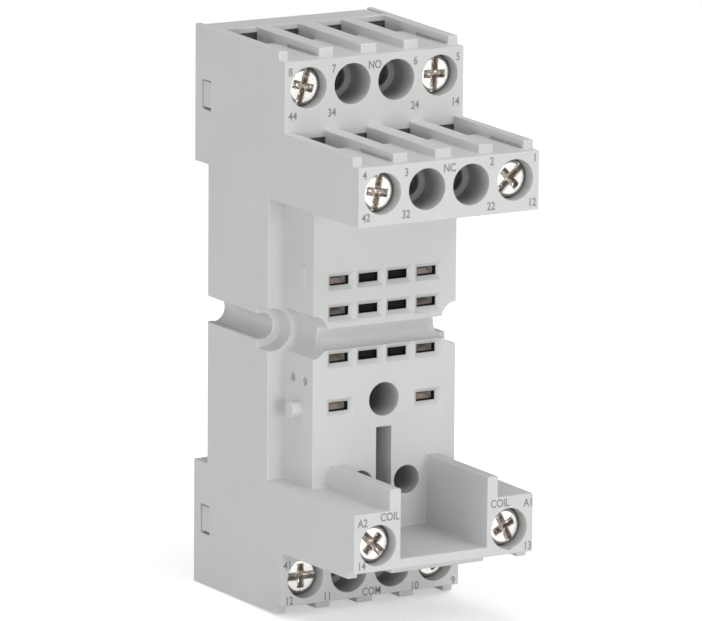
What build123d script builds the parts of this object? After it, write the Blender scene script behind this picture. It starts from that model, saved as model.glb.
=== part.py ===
from build123d import *
import os
from dataclasses import dataclass

# Rail-mounted socket for a miniature plug-in relay: a stepped terminal housing,
# a snapped-in rear cover with a sprung rail latch, and eight rising-cage
# terminals with their contact strips. Every depth is measured forwards from the
# rear face and every height upwards from the underside, in millimetres.
# X runs to the right, the front faces -Y, and the origin is at the middle of
# the bottom of the overall box.

# Overall body
WIDTH = 27.0
HEIGHT = 75.5
RAIL_SEAT = 3.5
BASE_FRONT = 19.5
SETBACK_FRONT = 23.55
BLOCK_FRONT = 26.6
NC_FRONT = 42.5
COIL_FRONT = 42.0
BLOCK_WIDTH = 21.6

# Heights of the feet and tiers
UPPER_FOOT = 57.1
LOWER_FOOT = 16.8
NC_DROP = 11.0
NC_THICKNESS = 9.2
COIL_TOP = 17.75
COIL_FALL = 0.1
COIL_BOTTOM = 9.85

# Draft: how far the ends of the tiers close in from rear to front
UPPER_FALL = 0.5
LOWER_RISE = 0.3
TIER_DRAFT = 0.25

# Wire channels between the ribs
LIP = 1.15
LIP_SETBACK = 1.55
SIDE_WALL = 1.45
RIB = 2.15
RIB_PITCH = 6.4
CENTRE_RIB = 2.4
COIL_RIB = 14.0
WIRE_HOLE_REAR = 5.7
WIRE_HOLE_FRONT = 13.4
SLIT_HEIGHT = 0.45
SLIT_DEPTH = 0.35
SLIT_REAR = 10.0
SLIT_FRONT = 2.2

# Screw holes in the tier fronts
SCREW_PITCH = 6.6
SCREW_HOLE = 5.4
SCREW_HOLE_DEPTH = 5.1
NECK_HOLE = 3.6
NECK_LENGTH = 1.15
NO_SCREW_DROP = 5.3
NC_SCREW_DROP = 5.0
COM_SCREW = 5.05
COIL_SCREW = 13.3

# Relay slots
SLOT_PITCH = 4.4
SLOT_WIDTH = 2.8
SLOT_HEIGHT = 1.15
SLOT_LEAD = 0.6
SLOT_WALL = 1.6
NC_SLOT = 44.95
NO_SLOT = 40.85
COM_SLOT = 34.65
COIL_SLOT = 28.2

# Waist of the relay block and the mounting-screw notches in its sides
WAIST_TOP = 38.8
WAIST_BOTTOM = 35.9
WAIST_DEPTH = 2.5
NOTCH_HEIGHT = 37.75
NOTCH_INSET = 0.75
NOTCH_WIDTH = 3.4
NOTCH_HEAD = 5.6
NOTCH_HEAD_DEPTH = 2.9
ACCESS_RADIUS = 2.2
ACCESS_STRETCH = 1.25
ACCESS_HEIGHT = 37.8
ACCESS_OUTSET = 0.05

# Openings in the front of the relay block
KEY_HOLE = 4.45
KEY_HOLE_HEIGHT = 28.6
KEY_HOLE_DEPTH = 9.0
MODULE_HOLE = 3.8
MODULE_HOLE_HEIGHT = 17.45
MODULE_HOLE_PITCH = 7.0
MODULE_HOLE_DEPTH = 8.0
MODULE_SLOT = 2.3
MODULE_SLOT_TOP = 24.9

# Module bay between the coil terminals
BAY_WIDTH = 13.1
BAY_FLOOR = 11.15
FENCE = 1.6
FENCE_TOP = 20.5

# Small features on the sides of the relay block
CLIP_PIN = 2.1
CLIP_PIN_LENGTH = 1.4
CLIP_PIN_HEIGHT = 27.7
CLIP_PIN_AHEAD = 3.4
PEG_HOLE = 1.1
PEG_HOLE_DEPTH = 1.0
PEG_HOLE_HEIGHT = 31.65
PEG_HOLES_AHEAD = (1.9, 5.0)
PAD_THICKNESS = 0.2
PAD_WIDTH = 1.1
PAD_HEIGHT = 3.3
PAD_BOTTOM = 43.65
PAD_AHEAD = 4.0

# Rear cover
COVER_FRONT = 4.6
COVER_WALL = 0.85
COVER_SKIN = 1.1
COVER_END_GAP = 0.25
LUG_REAR = 1.65
LUG_LENGTH = 2.45
LUG_HEIGHT = 3.95
LUG_HEIGHTS = (9.0, 66.3)
LUG_SINK = 0.15
FOOT_RIB = 1.2

# Top-hat rail 35 mm high and 1 mm thick at its edges
RAIL_HEIGHT = 35.0
RAIL_CENTRE = 37.75
RAIL_EDGE = 1.0
HOOK_REACH = 1.6
HOOK_THICKNESS = 1.4
HOOK_WIDTH = 5.0
HOOK_OFFSET = 7.6
HOOK_RELIEF = 0.3

# Rail latch and its spring
LATCH_WIDTH = 8.0
LATCH_WING = 1.0
LATCH_BOTTOM = 0.8
LATCH_TRAVEL = 2.2
LATCH_SKIN = 0.5
LATCH_SKIN_LIP = 1.0
WING_BOTTOM = 3.4
WING_TOP = 9.0
SPRING_PITCH_COUNT = 6
SPRING_RADIUS = 1.1
SPRING_WIRE = 0.4
SPRING_WIRE_SIDES = 6
SPRING_BOTTOM = 4.2
SPRING_LENGTH = 7.2

# Contact strips
STRIP = 0.6
FORK_WIDTH = 3.0
FORK_HEIGHT = 2.8
LEAF = 0.4
TONGUE_WIDTH = 2.4
TONGUE_BACK = 12.4
JOG_START = 2.3
JOG_LENGTH = 4.0
STRIP_DEEP = 11.15
STRIP_SHALLOW = 15.3
FORK_GAP = 0.35
FORK_MOUTH = 1.5

# Clamp cages
CAGE_HEIGHT = 4.8
CAGE_WALL = 0.55
CAGE_BACK = 1.0
CAGE_THREAD_WALL = 1.6
CAGE_OPENING = 5.75
CAGE_AHEAD = 0.35
CAGE_CORNER = 0.5

# Terminal screws
HEAD_DIAMETER = 5.0
HEAD_SUNK = 2.0
HEAD_RIM = 0.45
NECK_DIAMETER = 3.5
SHANK_DIAMETER = 2.9
DRIVE_WIDTH = 0.8
DRIVE_DEPTH = 1.0
CROSS_LENGTH = 3.2
TIP_CHAMFER = 0.4

# Clearances
RUNNING = 0.05
LOOSE = 0.1
ROOM = 0.15

HALF = WIDTH / 2
COVER_HALF = HALF - COVER_WALL
NC_TOP = HEIGHT - NC_DROP
NC_BOTTOM = NC_TOP - NC_THICKNESS
CHANNEL_CUT = LIP + max(UPPER_FALL, LOWER_RISE, TIER_DRAFT)
FORK_FRONT = BLOCK_FRONT - SLOT_WALL - LOOSE
RING_REAR = SCREW_HOLE_DEPTH + NECK_LENGTH
RAIL_TOP = RAIL_CENTRE + RAIL_HEIGHT / 2
RAIL_BOTTOM = RAIL_CENTRE - RAIL_HEIGHT / 2
HOOK_FRONT = RAIL_SEAT - RAIL_EDGE - LOOSE
CAGE_INSIDE = SHANK_DIAMETER + 2 * LOOSE
CAGE_WIDTH = CAGE_INSIDE + 2 * CAGE_WALL


def y_at(depth):
    """Y of a plane that lies a depth in front of the rear face."""
    return NC_FRONT / 2 - depth


def front_plane(depth):
    """Plane parallel to the fronts, facing forwards, with X right and Y up."""
    return Plane.XZ.offset(depth - NC_FRONT / 2)


def block(x_range, depths, heights, mode=Mode.ADD):
    """Add, cut or just return the block between two limits in each direction."""
    with BuildSketch(front_plane(depths[0])) as face:
        with Locations((sum(x_range) / 2, sum(heights) / 2)):
            Rectangle(x_range[1] - x_range[0], heights[1] - heights[0])
    return extrude(face.sketch, amount=depths[1] - depths[0], mode=mode)


def mirrored(side, near, far):
    """X limits of a feature, near and far from the middle, on one side."""
    return sorted((side * near, side * far))


@dataclass(frozen=True)
class Row:
    """One row of terminals: its tier, its relay slots and its numbers."""

    front: float
    screw: float
    wire_side: int
    slot: float
    strip: float
    hole_rear: float
    floor: float
    numbers: tuple

    def columns(self):
        """Number, screw X and slot X of each position, from left to right."""
        count = len(self.numbers)
        spread = [i - (count - 1) / 2 for i in range(count)]
        if count == 2:
            spread = [-1.5, 1.5]
        return [
            (number, step * SCREW_PITCH, step * SLOT_PITCH)
            for number, step in zip(self.numbers, spread)
        ]

    def cage_limit(self, end):
        """Height of the chamber's end on the wire side (1) or the other (-1)."""
        return self.screw + end * self.wire_side * (CAGE_HEIGHT / 2 + ROOM)

    def run(self):
        """Height at which a strip turns forwards, under or over its cage."""
        return self.cage_limit(-1) - self.wire_side * (STRIP / 2 + LOOSE)

    def turns_forward(self):
        """Whether the strip runs forwards to a tier that stands out."""
        return self.strip != STRIP_DEEP


NO_ROW = Row(SETBACK_FRONT, HEIGHT - NO_SCREW_DROP, 1, NO_SLOT, STRIP_DEEP,
             WIRE_HOLE_REAR, HEIGHT - UPPER_FALL - LIP, (8, 7, 6, 5))
NC_ROW = Row(NC_FRONT, NC_TOP - NC_SCREW_DROP, 1, NC_SLOT, STRIP_SHALLOW,
             SETBACK_FRONT, NC_TOP - TIER_DRAFT - LIP, (4, 3, 2, 1))
COM_ROW = Row(SETBACK_FRONT, COM_SCREW, -1, COM_SLOT, STRIP_DEEP,
              WIRE_HOLE_REAR, LOWER_RISE + LIP, (12, 11, 10, 9))
COIL_ROW = Row(COIL_FRONT, COIL_SCREW, -1, COIL_SLOT, STRIP_SHALLOW,
               SETBACK_FRONT, COIL_BOTTOM, (14, 13))
ROWS = (NO_ROW, NC_ROW, COM_ROW, COIL_ROW)
WIRED = (1, 4, 5, 8, 9, 12, 13, 14)
TERMINALS = [
    (row, number, screw_x, slot_x)
    for row in ROWS
    for number, screw_x, slot_x in row.columns()
    if number in WIRED
]


def strip_face(row, screw_x, slot_x, room=0.0):
    """Flat outline of a contact strip from its fork to its upper or lower end."""
    up = row.wire_side
    fork_end = row.slot - up * FORK_HEIGHT / 2
    jog = row.slot + up * JOG_START
    end = row.screw + up * CAGE_HEIGHT / 2
    if row.turns_forward():
        end = row.run() + up * STRIP / 2
    # The tongue goes on past the jog, however near the screw is to the slot
    end = row.slot + up * max(up * (end - row.slot), JOG_START + JOG_LENGTH + STRIP)
    fork, tongue = FORK_WIDTH / 2, TONGUE_WIDTH / 2
    with BuildSketch() as face:
        with BuildLine():
            Polyline(
                (slot_x - fork, fork_end), (slot_x + fork, fork_end),
                (slot_x + fork, jog), (screw_x + tongue, jog + up * JOG_LENGTH),
                (screw_x + tongue, end), (screw_x - tongue, end),
                (screw_x - tongue, jog + up * JOG_LENGTH), (slot_x - fork, jog),
                close=True)
        make_face()
        if room:
            offset(amount=room, kind=Kind.INTERSECTION)
    return face.sketch


def outline(corners):
    """Side view through points given as depth and height."""
    with BuildSketch(Plane.YZ) as face:
        with BuildLine():
            Polyline(*[(y_at(depth), height) for depth, height in corners], close=True)
        make_face()
    return face.sketch


def channel_limits(row):
    """X limits of each wire channel of a row, from left to right."""
    outer = (RIB_PITCH + RIB / 2, HALF - SIDE_WALL)
    inner = (CENTRE_RIB / 2, RIB_PITCH - RIB / 2)
    if row is COIL_ROW:
        outer = (COIL_RIB / 2, HALF - SIDE_WALL)
        return [mirrored(-1, *outer), mirrored(1, *outer)]
    return [mirrored(-1, *outer), mirrored(-1, *inner), mirrored(1, *inner), mirrored(1, *outer)]


# Housing: one moulding with stepped tiers, drawn from its side view
BODY_CORNERS = (
    (0, 0), (SETBACK_FRONT - LIP_SETBACK, LOWER_RISE), (SETBACK_FRONT - LIP_SETBACK, COM_ROW.floor),
    (SETBACK_FRONT, COM_ROW.floor), (SETBACK_FRONT, COIL_BOTTOM - LIP),
    (COIL_FRONT - LIP_SETBACK, COIL_BOTTOM - LIP + TIER_DRAFT),
    (COIL_FRONT - LIP_SETBACK, COIL_BOTTOM), (COIL_FRONT, COIL_BOTTOM),
    (COIL_FRONT, COIL_TOP - COIL_FALL), (BASE_FRONT, COIL_TOP),
    (BASE_FRONT, NC_BOTTOM), (NC_FRONT, NC_BOTTOM), (NC_FRONT, NC_ROW.floor),
    (NC_FRONT - LIP_SETBACK, NC_ROW.floor), (NC_FRONT - LIP_SETBACK, NC_TOP - TIER_DRAFT),
    (SETBACK_FRONT, NC_TOP), (SETBACK_FRONT, NO_ROW.floor),
    (SETBACK_FRONT - LIP_SETBACK, NO_ROW.floor), (SETBACK_FRONT - LIP_SETBACK, HEIGHT - UPPER_FALL),
    (0, HEIGHT), (0, UPPER_FOOT), (RAIL_SEAT, UPPER_FOOT), (RAIL_SEAT, LOWER_FOOT),
    (0, LOWER_FOOT),
)

with BuildPart() as housing:
    extrude(outline(BODY_CORNERS), amount=HALF, both=True)
    # Relay block, and the fences of the module bay in front of it
    block((-BLOCK_WIDTH / 2, BLOCK_WIDTH / 2), (BASE_FRONT, BLOCK_FRONT),
          (COIL_BOTTOM, NC_BOTTOM))
    for side in (-1, 1):
        block(mirrored(side, BAY_WIDTH / 2, BAY_WIDTH / 2 + FENCE),
              (BLOCK_FRONT, COIL_FRONT), (BAY_FLOOR, FENCE_TOP))
    block((-BAY_WIDTH / 2, BAY_WIDTH / 2), (BLOCK_FRONT, COIL_FRONT),
          (BAY_FLOOR, FENCE_TOP), Mode.SUBTRACT)

    # Screw holes with a ring that carries the screw's head, and relay slots
    for row in ROWS:
        with Locations(front_plane(row.front)):
            with Locations(*[(screw_x, row.screw) for _, screw_x, _ in row.columns()]):
                CounterBoreHole(NECK_HOLE / 2, SCREW_HOLE / 2, SCREW_HOLE_DEPTH,
                                RING_REAR + ROOM)
    slots = [(slot_x, row.slot) for row in ROWS for _, _, slot_x in row.columns()]
    with BuildSketch(front_plane(BLOCK_FRONT)) as mouths:
        with Locations(*slots):
            Rectangle(SLOT_WIDTH + 2 * SLOT_LEAD, SLOT_HEIGHT + 2 * SLOT_LEAD)
    extrude(mouths.sketch, amount=-SLOT_LEAD, taper=45, mode=Mode.SUBTRACT)
    with BuildSketch(front_plane(BLOCK_FRONT)) as throats:
        with Locations(*slots):
            Rectangle(SLOT_WIDTH, SLOT_HEIGHT)
    extrude(throats.sketch, amount=-SLOT_WALL, mode=Mode.SUBTRACT)

    # Round openings in the front of the block
    with Locations(front_plane(BLOCK_FRONT)):
        with Locations((0, KEY_HOLE_HEIGHT)):
            Hole(KEY_HOLE / 2, KEY_HOLE_DEPTH)
        with Locations((0, MODULE_HOLE_HEIGHT)):
            with GridLocations(MODULE_HOLE_PITCH, 1, 2, 1):
                Hole(MODULE_HOLE / 2, MODULE_HOLE_DEPTH)

    # Side notches for mounting screws, and room for a driver beside the block
    notch_x = HALF - NOTCH_INSET
    for side in (-1, 1):
        with BuildSketch(front_plane(BASE_FRONT)) as access:
            with Locations((side * (BLOCK_WIDTH / 2 + ACCESS_OUTSET), ACCESS_HEIGHT)):
                SlotCenterToCenter(ACCESS_STRETCH, 2 * ACCESS_RADIUS, rotation=90)
        extrude(access.sketch, amount=BLOCK_FRONT - BASE_FRONT, mode=Mode.SUBTRACT)
        for width, depth in ((NOTCH_WIDTH, BASE_FRONT), (NOTCH_HEAD, NOTCH_HEAD_DEPTH)):
            with BuildSketch(front_plane(BASE_FRONT)) as notch:
                with Locations((side * notch_x, NOTCH_HEIGHT)):
                    Circle(width / 2)
                with Locations((side * (notch_x + width / 2), NOTCH_HEIGHT)):
                    Rectangle(width, width)
            extrude(notch.sketch, amount=-depth, mode=Mode.SUBTRACT)

    # Clip pins, peg holes and locating pads on the sides of the block
    for side in (-1, 1):
        flank = Plane(origin=(side * BLOCK_WIDTH / 2, 0, 0), x_dir=(0, side, 0),
                      z_dir=(side, 0, 0))
        with BuildSketch(flank) as pin:
            with Locations((side * y_at(BASE_FRONT + CLIP_PIN_AHEAD), CLIP_PIN_HEIGHT)):
                Circle(CLIP_PIN / 2)
        extrude(pin.sketch, amount=CLIP_PIN_LENGTH)
        for ahead in PEG_HOLES_AHEAD:
            with BuildSketch(flank) as peg:
                with Locations((side * y_at(BASE_FRONT + ahead), PEG_HOLE_HEIGHT)):
                    Circle(PEG_HOLE / 2)
            extrude(peg.sketch, amount=-PEG_HOLE_DEPTH, mode=Mode.SUBTRACT)
        block(mirrored(side, BLOCK_WIDTH / 2, BLOCK_WIDTH / 2 + PAD_THICKNESS),
              (BASE_FRONT + PAD_AHEAD, BASE_FRONT + PAD_AHEAD + PAD_WIDTH),
              (PAD_BOTTOM, PAD_BOTTOM + PAD_HEIGHT))

    # Recess for the rear cover, waist of the block and slot of the module
    cavities = [
        block((-COVER_HALF, COVER_HALF), (0, COVER_FRONT), (0, HEIGHT), Mode.PRIVATE),
        block((-BLOCK_WIDTH / 2, BLOCK_WIDTH / 2), (BLOCK_FRONT - WAIST_DEPTH, BLOCK_FRONT),
              (WAIST_BOTTOM, WAIST_TOP), Mode.PRIVATE),
        block((-MODULE_SLOT / 2, MODULE_SLOT / 2),
              (BLOCK_FRONT - MODULE_HOLE_DEPTH, BLOCK_FRONT),
              (BAY_FLOOR, MODULE_SLOT_TOP), Mode.PRIVATE),
    ]
    # Windows in the side walls for the lugs of the rear cover
    for height in LUG_HEIGHTS:
        for side in (-1, 1):
            cavities.append(block(
                mirrored(side, COVER_HALF, HALF), (LUG_REAR, LUG_REAR + LUG_LENGTH),
                (height - LUG_HEIGHT / 2, height + LUG_HEIGHT / 2), Mode.PRIVATE))
    for row in ROWS:
        up = row.wire_side
        limits = channel_limits(row)
        for x_range in limits:
            # Channel between the ribs, open at the front, and its wire hole
            cavities.append(block(
                x_range, (row.hole_rear, row.front - LIP_SETBACK),
                sorted((row.floor, row.floor + up * CHANNEL_CUT)), Mode.PRIVATE))
            cavities.append(block(
                x_range, (row.hole_rear, row.front - WIRE_HOLE_FRONT),
                sorted((row.floor, row.cage_limit(1))), Mode.PRIVATE))
        for x_range in (limits[0], limits[-1]):
            # Slits at the feet of the walls beside a wired channel
            cavities.append(block(
                (x_range[0] - SLIT_DEPTH, x_range[1] + SLIT_DEPTH),
                (row.front - SLIT_REAR, row.front - SLIT_FRONT),
                sorted((row.floor, row.floor + up * SLIT_HEIGHT)), Mode.PRIVATE))
        for number, screw_x, slot_x in row.columns():
            # Chamber of the clamp cage, drawn from the rear
            strip_side = row.run() - up * (STRIP / 2 + LOOSE)
            cavities.append(block(
                (screw_x - CAGE_WIDTH / 2 - LOOSE, screw_x + CAGE_WIDTH / 2 + LOOSE),
                (COVER_FRONT, row.front - RING_REAR),
                sorted((row.cage_limit(1), strip_side)), Mode.PRIVATE))
            # Groove of the contact strip and pocket of its fork
            with BuildSketch(front_plane(COVER_FRONT)) as groove:
                add(strip_face(row, screw_x, slot_x, LOOSE))
            cavities.append(extrude(groove.sketch, amount=row.strip - COVER_FRONT,
                                    mode=Mode.PRIVATE))
            cavities.append(block(
                (slot_x - FORK_WIDTH / 2 - LOOSE, slot_x + FORK_WIDTH / 2 + LOOSE),
                (row.strip, BLOCK_FRONT - SLOT_WALL),
                (row.slot - FORK_HEIGHT / 2 - LOOSE, row.slot + FORK_HEIGHT / 2 + LOOSE),
                Mode.PRIVATE))
    add(cavities, mode=Mode.SUBTRACT)


# Rear cover: closes the chambers, seats on the rail and guides the latch
cover_x = COVER_HALF - LOOSE
COVER_CORNERS = (
    (RAIL_SEAT, LOWER_FOOT), (0, LOWER_FOOT), (0, COVER_END_GAP),
    (COVER_FRONT - RUNNING, COVER_END_GAP), (COVER_FRONT - RUNNING, HEIGHT - COVER_END_GAP),
    (0, HEIGHT - COVER_END_GAP), (0, UPPER_FOOT), (RAIL_SEAT, UPPER_FOOT),
)
latch_front = HOOK_FRONT
latch_rear = LATCH_SKIN + LOOSE
guide_half = LATCH_WIDTH / 2 + LOOSE
wing_half = guide_half + LATCH_WING
spring_depth = (latch_rear + latch_front) / 2 + STRIP
spring_room = SPRING_RADIUS + SPRING_WIRE / 2 + LOOSE
hook_top = RAIL_BOTTOM + HOOK_REACH

with BuildPart() as rear_cover:
    extrude(outline(COVER_CORNERS), amount=cover_x, both=True)
    # Way through for the mounting screws at the housing's side notches
    with BuildSketch(front_plane(0)) as passages:
        for side in (-1, 1):
            with Locations((side * notch_x, NOTCH_HEIGHT)):
                Circle(NOTCH_WIDTH / 2 + LOOSE)
    extrude(passages.sketch, amount=COVER_FRONT, mode=Mode.SUBTRACT)
    for side in (-1, 1):
        # Lugs that snap into the windows of the housing's side walls
        for height in LUG_HEIGHTS:
            block(mirrored(side, cover_x, HALF - LUG_SINK),
                  (LUG_REAR + ROOM, LUG_REAR + LUG_LENGTH - LOOSE),
                  (height - LUG_HEIGHT / 2 + 2 * ROOM, height + LUG_HEIGHT / 2 - ROOM))
        # Fixed hooks over the upper edge of the rail
        block(mirrored(side, HOOK_OFFSET - HOOK_WIDTH / 2, HOOK_OFFSET + HOOK_WIDTH / 2),
              (HOOK_FRONT - HOOK_THICKNESS, HOOK_FRONT),
              (RAIL_TOP - HOOK_REACH, UPPER_FOOT))
        # Relief behind each hook, so that the seat itself lies open
        block(mirrored(side, HOOK_OFFSET - HOOK_WIDTH / 2 - LOOSE, HOOK_OFFSET + HOOK_WIDTH / 2 + LOOSE),
              (RAIL_SEAT, RAIL_SEAT + HOOK_RELIEF),
              (RAIL_TOP - HOOK_REACH - LOOSE, UPPER_FOOT), Mode.SUBTRACT)
        # Cored-out pockets in the upper foot, and beside the latch in the lower one
        block(mirrored(side, FOOT_RIB / 2, cover_x - FOOT_RIB),
              (0, COVER_FRONT - COVER_SKIN),
              (UPPER_FOOT + FOOT_RIB, HEIGHT - COVER_END_GAP - FOOT_RIB), Mode.SUBTRACT)
        block(mirrored(side, wing_half + FOOT_RIB, cover_x - FOOT_RIB),
              (0, COVER_FRONT - COVER_SKIN), (FOOT_RIB, LOWER_FOOT - FOOT_RIB),
              Mode.SUBTRACT)
    # Guide of the latch, half covered by a skin at the rear
    block((-guide_half, guide_half), (LATCH_SKIN, latch_front + LOOSE),
          (COVER_END_GAP, LOWER_FOOT), Mode.SUBTRACT)
    block((-wing_half, wing_half), (LATCH_SKIN, latch_front + LOOSE),
          (WING_BOTTOM - LATCH_TRAVEL - ROOM, WING_TOP + RUNNING), Mode.SUBTRACT)
    block((LATCH_SKIN_LIP - guide_half, guide_half - LATCH_SKIN_LIP), (0, LATCH_SKIN),
          (COVER_END_GAP, LOWER_FOOT), Mode.SUBTRACT)
    block((-spring_room, spring_room), (latch_front, spring_depth + spring_room),
          (SPRING_BOTTOM, SPRING_BOTTOM + SPRING_LENGTH + ROOM), Mode.SUBTRACT)
    block((-guide_half, guide_half), (RAIL_SEAT, RAIL_SEAT + HOOK_RELIEF),
          (LOWER_FOOT, hook_top + LOOSE), Mode.SUBTRACT)


# Rail latch: a slide with two wings, a spring window and a hooked top
with BuildPart() as rail_latch:
    block((-LATCH_WIDTH / 2, LATCH_WIDTH / 2), (latch_rear, latch_front),
          (LATCH_BOTTOM, hook_top))
    block((LOOSE - wing_half, wing_half - LOOSE), (latch_rear, latch_front),
          (WING_BOTTOM, WING_TOP))
    block((-spring_room, spring_room), (latch_rear, latch_front),
          (SPRING_BOTTOM, SPRING_BOTTOM + SPRING_LENGTH), Mode.SUBTRACT)
    # Slot for the blade of a screwdriver
    block((-LATCH_WIDTH / 4, LATCH_WIDTH / 4), (latch_rear, latch_front),
          (LATCH_BOTTOM + FOOT_RIB / 2, LATCH_BOTTOM + FOOT_RIB + DRIVE_WIDTH),
          Mode.SUBTRACT)
    chamfer(rail_latch.edges().filter_by(Axis.X).group_by(Axis.Z)[-1].sort_by(Axis.Y)[0],
            length=FOOT_RIB)


# Latch spring: a helix whose wire is drawn with six flats
with BuildPart() as latch_spring:
    with BuildLine() as coil:
        Helix((SPRING_LENGTH - SPRING_WIRE - 2 * RUNNING) / SPRING_PITCH_COUNT,
              SPRING_LENGTH - SPRING_WIRE - 2 * RUNNING, SPRING_RADIUS,
              center=(0, y_at(spring_depth), SPRING_BOTTOM + SPRING_WIRE / 2 + RUNNING))
    with BuildSketch(Plane(coil.line @ 0, z_dir=coil.line % 0)):
        RegularPolygon(SPRING_WIRE / 2, SPRING_WIRE_SIDES)
    sweep(path=coil.line, is_frenet=True)


def leaf_corners(row, sign):
    """Side view of one fork leaf, curving in to its contact point and out again."""
    back, tip = row.strip - RUNNING, FORK_FRONT
    root = FORK_HEIGHT / 2
    pinch = FORK_GAP / 2
    flare = SLOT_HEIGHT / 2 + LEAF / 2
    run = ((back, root), (back + (tip - back) / 3, root - LEAF / 2),
           (tip - FORK_MOUTH, pinch + LEAF), (tip, flare + LEAF),
           (tip, flare), (tip - FORK_MOUTH, pinch),
           (back + (tip - back) / 3, root - LEAF * 3 / 2), (back, root - LEAF))
    return [(depth, row.slot + sign * height) for depth, height in run]


def contact_strip(row, screw_x, slot_x):
    """Stamped strip with a fork for the relay's blade and a tongue for the cage."""
    up = row.wire_side
    tongue_front = row.front - TONGUE_BACK
    tongue_x = (screw_x - TONGUE_WIDTH / 2, screw_x + TONGUE_WIDTH / 2)
    with BuildPart() as strip:
        with BuildSketch(front_plane(row.strip - STRIP - RUNNING)) as plate:
            add(strip_face(row, screw_x, slot_x))
        extrude(plate.sketch, amount=STRIP)
        for sign in (-1, 1):
            with BuildSketch(Plane.YZ.offset(slot_x)) as leaf:
                with BuildLine():
                    Polyline(*[(y_at(d), z) for d, z in leaf_corners(row, sign)], close=True)
                make_face()
            extrude(leaf.sketch, amount=FORK_WIDTH / 2, both=True)
        if row.turns_forward():
            block(tongue_x, (row.strip - STRIP - RUNNING, tongue_front),
                  (row.run() - STRIP / 2, row.run() + STRIP / 2))
            block(tongue_x, (tongue_front - STRIP, tongue_front),
                  sorted((row.run() - up * STRIP / 2, row.screw + up * CAGE_HEIGHT / 2)))
    return strip


def clamp_cage(row, screw_x):
    """Rectangular ring that the screw draws forwards onto the wire."""
    inner_front = row.front - TONGUE_BACK + CAGE_AHEAD
    inner_rear = inner_front - CAGE_OPENING
    outer = (inner_rear - CAGE_BACK, inner_front + CAGE_THREAD_WALL)
    heights = (row.screw - CAGE_HEIGHT / 2, row.screw + CAGE_HEIGHT / 2)
    with BuildPart() as cage:
        block((screw_x - CAGE_WIDTH / 2, screw_x + CAGE_WIDTH / 2), outer, heights)
        fillet(cage.edges().filter_by(Axis.Z), CAGE_CORNER)
        block((screw_x - CAGE_INSIDE / 2, screw_x + CAGE_INSIDE / 2),
              (inner_rear, inner_front), heights, Mode.SUBTRACT)
        with Locations(front_plane(outer[1])):
            with Locations((screw_x, row.screw)):
                Hole(SHANK_DIAMETER / 2 + RUNNING, CAGE_THREAD_WALL + ROOM)
    return cage


def terminal_screw(row, screw_x):
    """Captive screw: head with a cross and a slot, journal neck and plain shank."""
    head, neck, shank = HEAD_DIAMETER / 2, NECK_DIAMETER / 2, SHANK_DIAMETER / 2
    head_rear = SCREW_HOLE_DEPTH - RUNNING
    tip = TONGUE_BACK - LOOSE
    profile = (
        (0, HEAD_SUNK), (head - HEAD_RIM, HEAD_SUNK), (head, HEAD_SUNK + HEAD_RIM),
        (head, head_rear), (neck, head_rear), (neck, RING_REAR), (shank, RING_REAR),
        (shank, tip - TIP_CHAMFER), (shank - TIP_CHAMFER, tip), (0, tip),
    )
    centre = (screw_x, y_at(row.front), row.screw)
    with BuildPart() as screw:
        with BuildSketch(Plane(origin=centre, x_dir=(1, 0, 0), z_dir=(0, 0, 1))) as half:
            with BuildLine():
                Polyline(*profile, close=True)
            make_face()
        revolve(half.sketch, axis=Axis(centre, (0, 1, 0)))
        with BuildSketch(front_plane(row.front - HEAD_SUNK - DRIVE_DEPTH)) as drive:
            with Locations((screw_x, row.screw)):
                Rectangle(HEAD_DIAMETER * 2, DRIVE_WIDTH)
                Rectangle(DRIVE_WIDTH, CROSS_LENGTH)
        extrude(drive.sketch, amount=DRIVE_DEPTH, mode=Mode.SUBTRACT)
    return screw


os.makedirs("parts", exist_ok=True)

housing.part.label = "housing"
export_step(housing.part, "parts/housing.step")
rear_cover.part.label = "rear_cover"
export_step(rear_cover.part, "parts/rear_cover.step")
rail_latch.part.label = "rail_latch"
export_step(rail_latch.part, "parts/rail_latch.step")
latch_spring.part.label = "latch_spring"
export_step(latch_spring.part, "parts/latch_spring.step")

for row, number, screw_x, slot_x in TERMINALS:
    contact = contact_strip(row, screw_x, slot_x)
    contact.part.label = f"contact_{number}"
    export_step(contact.part, f"parts/contact_{number}.step")
    cage = clamp_cage(row, screw_x)
    cage.part.label = f"clamp_cage_{number}"
    export_step(cage.part, f"parts/clamp_cage_{number}.step")
    screw = terminal_screw(row, screw_x)
    screw.part.label = f"terminal_screw_{number}"
    export_step(screw.part, f"parts/terminal_screw_{number}.step")
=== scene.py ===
"""Studio scene of a rail-mounted relay socket with screw terminals.

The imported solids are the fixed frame. The moulded and stamped pieces are
copies of their solids with softened edges, and the screws, the latch
spring and the printed position marks are worked out here from formulas.
Lengths in the classes are in millimetres, with depths from the rear, and
meshes are in metres. The half depth lies between the rear and the origin.
"""

from __future__ import annotations

import logging
from abc import ABC, abstractmethod
from dataclasses import dataclass
from enum import Enum
from math import cos, pi, radians, sin, sqrt
from typing import ClassVar

import bmesh
import bpy
import numpy as np
from bpy.types import Material, Mesh, Node, NodeSocket, NodeTree, Object
from mathutils import Matrix, Vector
from numpy import ndarray as Array


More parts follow.
